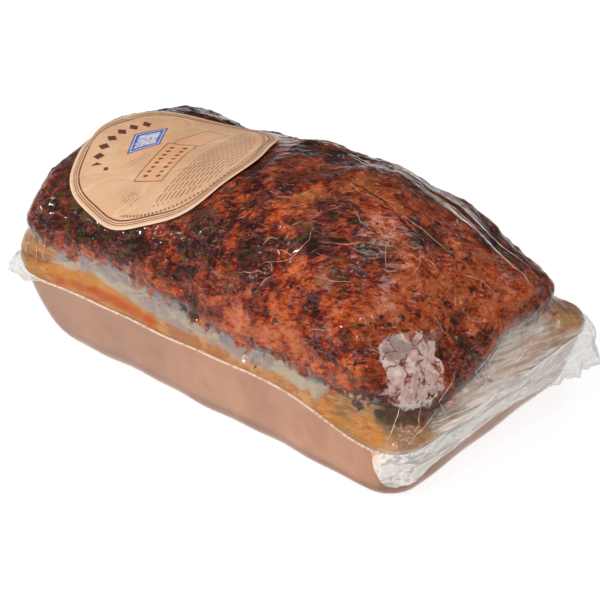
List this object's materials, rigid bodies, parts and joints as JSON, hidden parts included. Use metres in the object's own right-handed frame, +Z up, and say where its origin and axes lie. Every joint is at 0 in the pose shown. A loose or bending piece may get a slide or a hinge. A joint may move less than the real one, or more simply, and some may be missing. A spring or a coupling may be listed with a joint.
{
  "type": "vacuum-packed baked pate loaf",
  "caption": "Baked pate loaf: smooth moulded base, craggy browned dome, fat and jelly at the waist, round paper label, clear film pack with a welded seam.",
  "frame": {"origin": "middle of the pack's plan, on the flat base that it stands on", "axes": "+X along the loaf towards the low end of the dome, +Y across it, +Z up"},
  "size_m": [0.3048, 0.1844, 0.1288],
  "materials": {
    "pate": "baked pate: smooth pinkish brown below, browned and nearly black crust above, moist",
    "fat": "set fat and amber jelly, wet sheen",
    "label": "brown kraft paper, matt",
    "film": "clear packing film, glossy, milky where it is welded and ruffled"
  },
  "bodies": {
    "root": {"pate_loaf": "pate", "fat_collar": "fat", "label": "label", "film_seal": "film"}
  },
  "joints": []
}
